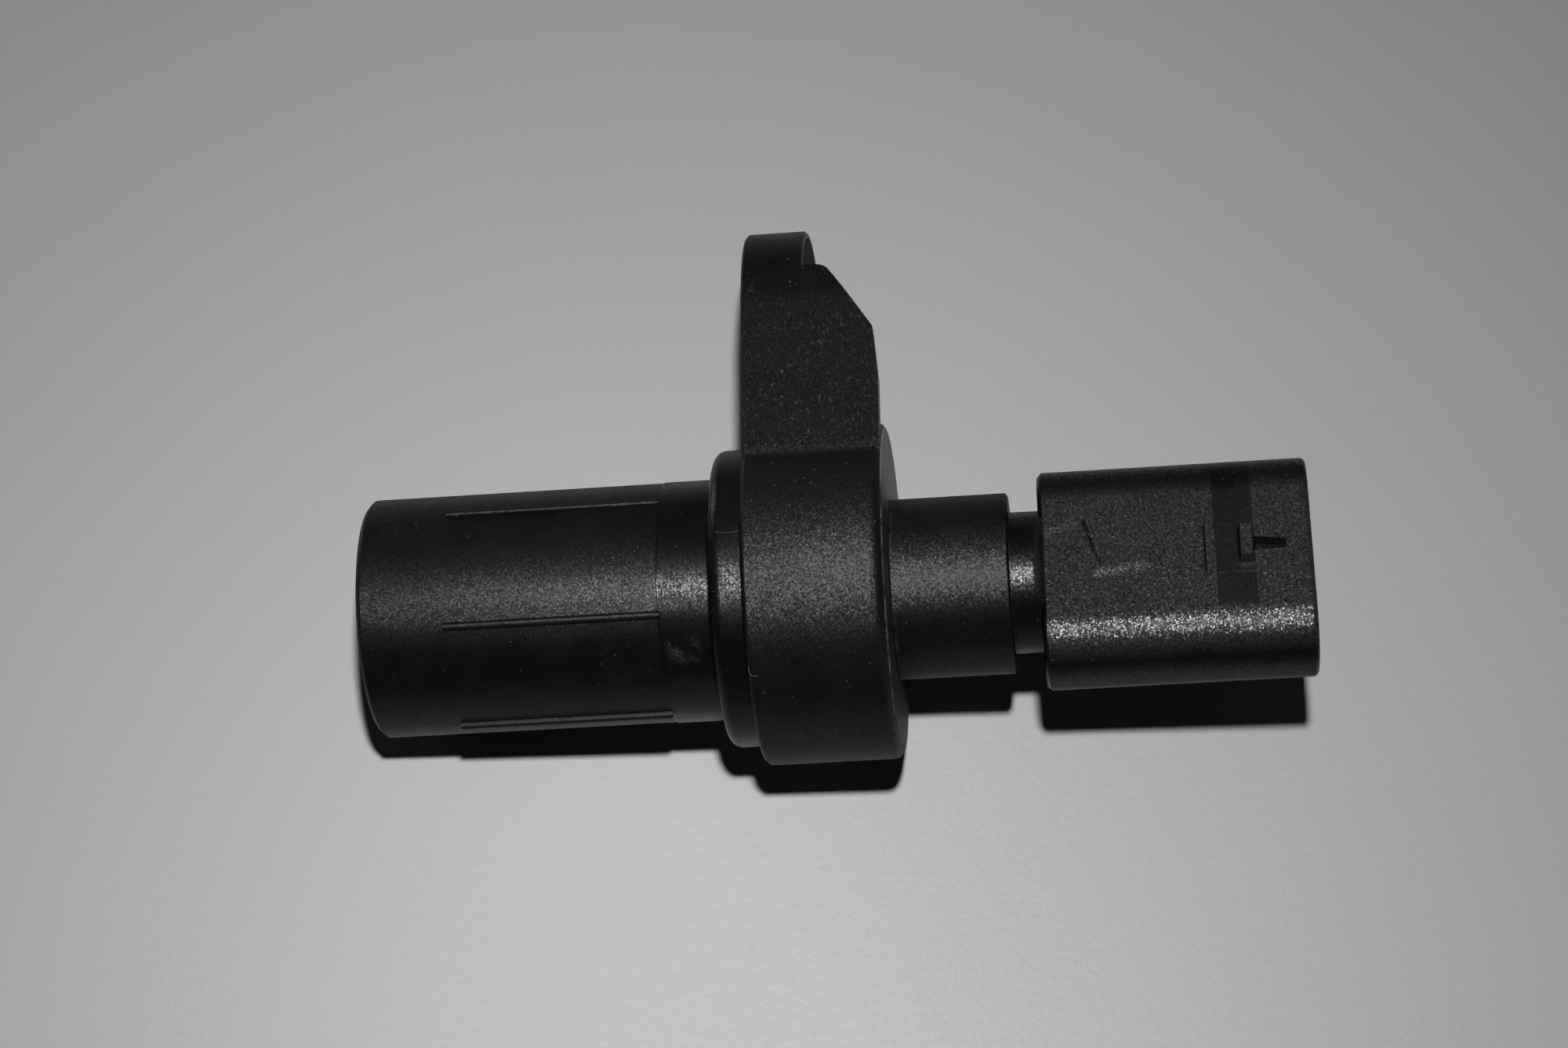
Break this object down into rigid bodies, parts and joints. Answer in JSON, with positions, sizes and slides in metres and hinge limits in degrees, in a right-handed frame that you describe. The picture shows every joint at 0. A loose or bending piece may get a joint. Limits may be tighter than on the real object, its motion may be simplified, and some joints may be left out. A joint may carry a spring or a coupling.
{
  "type": "camshaft position sensor",
  "caption": "Round sensing head with a stepped flange, a fixing ear with a metal-lined bolt hole, and a flat plug shroud with a lock lug.",
  "frame": {"origin": "on the axis of the sensing head, in the plane of the face that seats on the engine", "axes": "+X along the axis to the plug, +Y to the fixing bolt, +Z to the side with the lock lug"},
  "size_m": [0.0701, 0.0424, 0.0252],
  "materials": {
    "black_plastic": "fine spark-eroded grain, glass-filled",
    "bush_metal": "zinc plated",
    "terminal_metal": "tin plated",
    "chip_epoxy": "moulded epoxy",
    "magnet_metal": "sintered and ground",
    "carrier_plastic": "moulded",
    "capacitor_ceramic": "fired"
  },
  "bodies": {
    "root": {"housing": "black_plastic", "compression_bush": "bush_metal", "terminal_ground": "terminal_metal", "terminal_signal": "terminal_metal", "terminal_supply": "terminal_metal", "hall_chip": "chip_epoxy", "bias_magnet": "magnet_metal", "chip_carrier": "carrier_plastic", "capacitor_signal": "capacitor_ceramic", "capacitor_supply": "capacitor_ceramic"}
  },
  "joints": []
}
